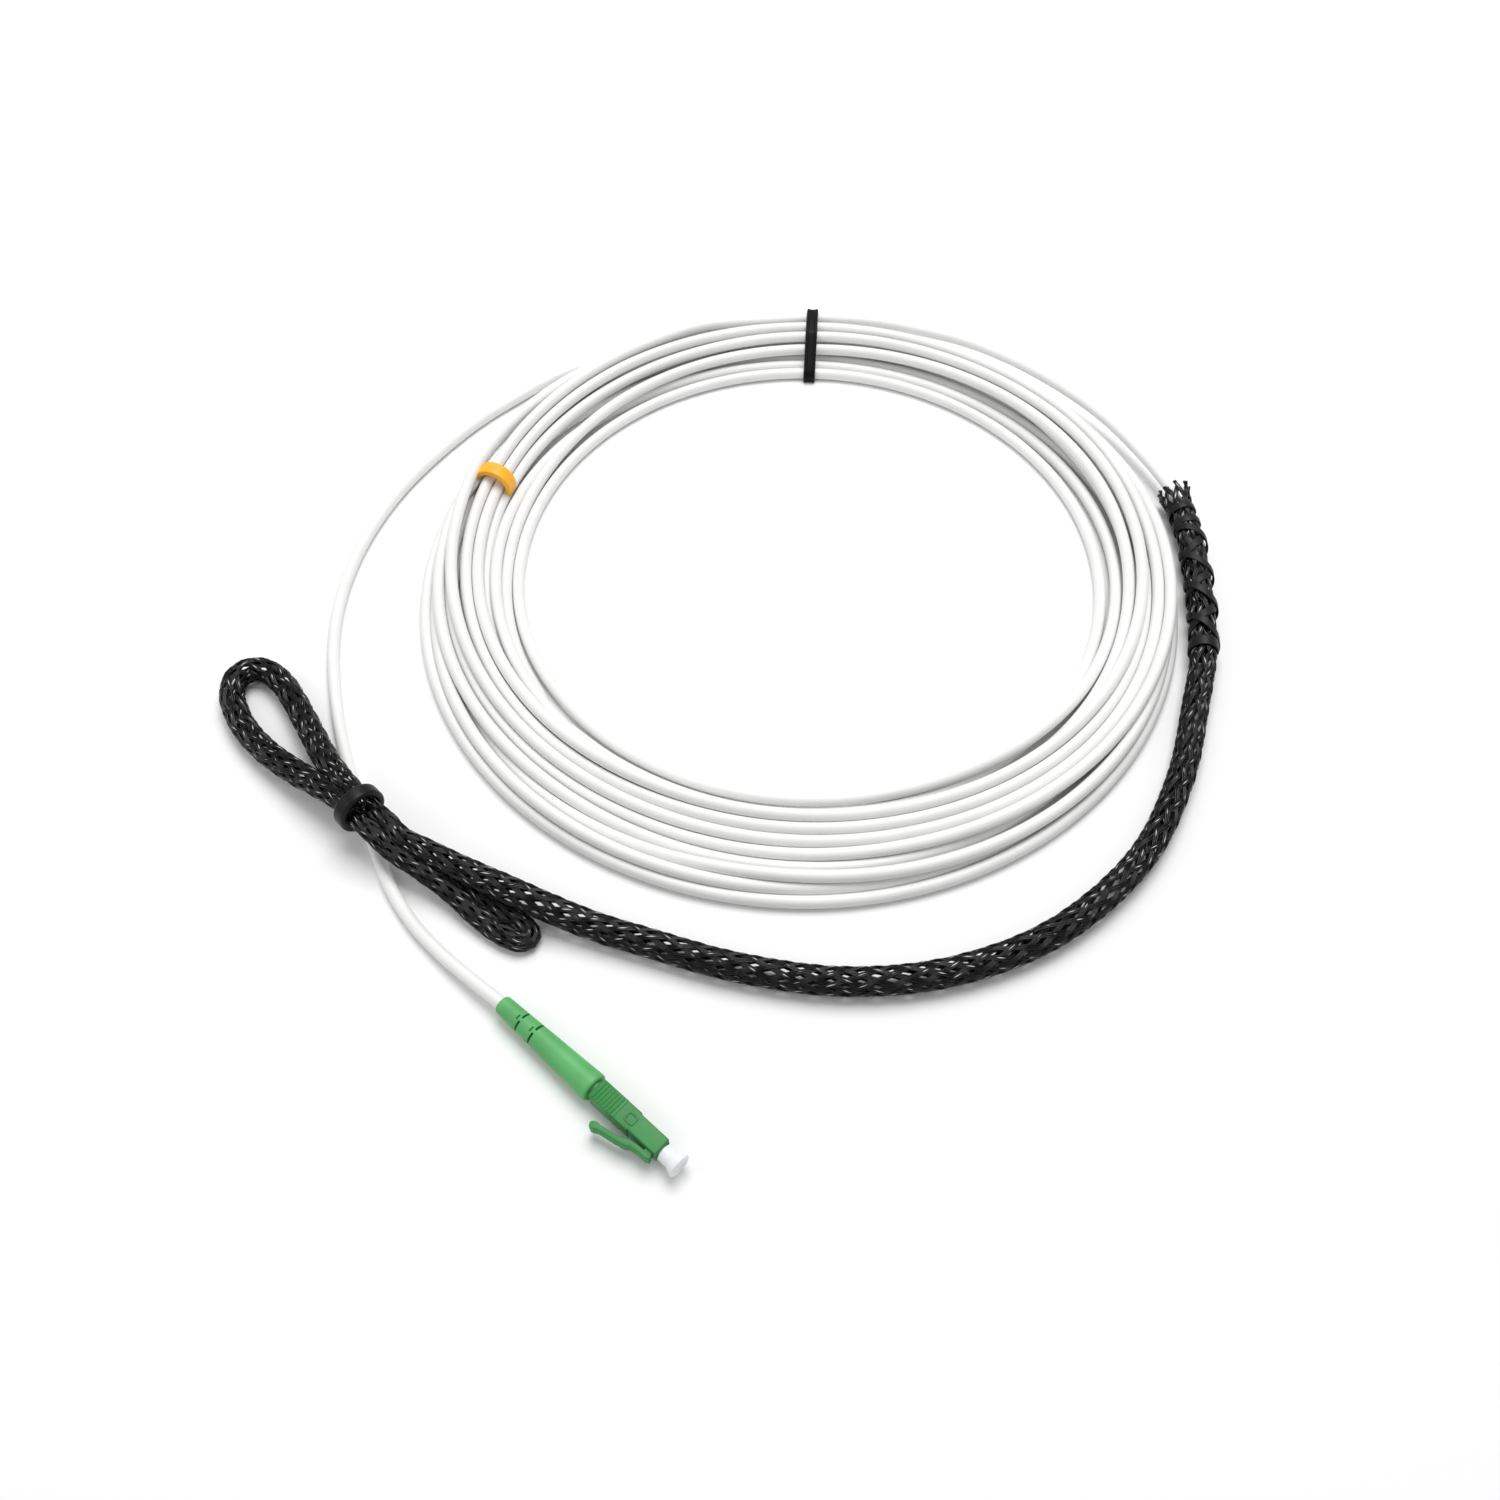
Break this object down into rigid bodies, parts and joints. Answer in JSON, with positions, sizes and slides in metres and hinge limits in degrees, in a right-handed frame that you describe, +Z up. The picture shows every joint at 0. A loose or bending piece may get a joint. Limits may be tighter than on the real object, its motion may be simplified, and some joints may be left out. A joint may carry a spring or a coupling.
{
  "type": "fibre optic cable",
  "caption": "Coiled fibre optic cable held by a tie, with a latched plug under a dust cap and a braided pulling sleeve looped through a rubber ring.",
  "frame": {"origin": "the middle of the whole laid out object, on the floor plane that the coil lies on", "axes": "+Z up from the floor, +Y away from the plug towards the coil's tie, +X towards the pulling sleeve's mouth"},
  "size_m": [0.2462, 0.2529, 0.0148],
  "materials": {
    "cable_jacket": "white smooth jacket with a soft sheen",
    "tie_plastic": "black, slightly grooved",
    "marker_plastic": "yellow orange, smooth",
    "boot_rubber": "light green, satin",
    "housing_plastic": "green, moulded",
    "cap_plastic": "white, slightly translucent",
    "ferrule_ceramic": "polished white",
    "sleeve_braid": "black monofilament braid, glossy strands",
    "band_rubber": "black, satin",
    "lashing_cord": "black flat waxed cord"
  },
  "bodies": {
    "cable": {"cable_coil": "cable_jacket", "cable_lead": "cable_jacket", "cable_entry": "cable_jacket", "coil_tie": "tie_plastic", "marker_ring": "marker_plastic", "connector_boot": "boot_rubber", "connector_housing": "housing_plastic", "ferrule": "ferrule_ceramic", "sleeve_run": "sleeve_braid", "sleeve_loop": "sleeve_braid", "sleeve_tail": "sleeve_braid", "sleeve_band": "band_rubber", "sleeve_lashing": "lashing_cord"},
    "latch": {"latch_lever": "housing_plastic"},
    "cap": {"dust_cap": "cap_plastic"}
  },
  "joints": [
    {"name": "latch_press", "type": "hinge", "parent": "cable", "child": "latch", "pos_m": [-0.01513, -0.12259, 0.0034], "axis": [0, 0, -1], "range_deg": [0, 5], "stiffness_Nm_per_rad": 0.01},
    {"name": "cap_pull", "type": "slide", "parent": "cable", "child": "cap", "axis": [0.7431, -0.6691, 0], "range_m": [0, 0.015]}
  ]
}
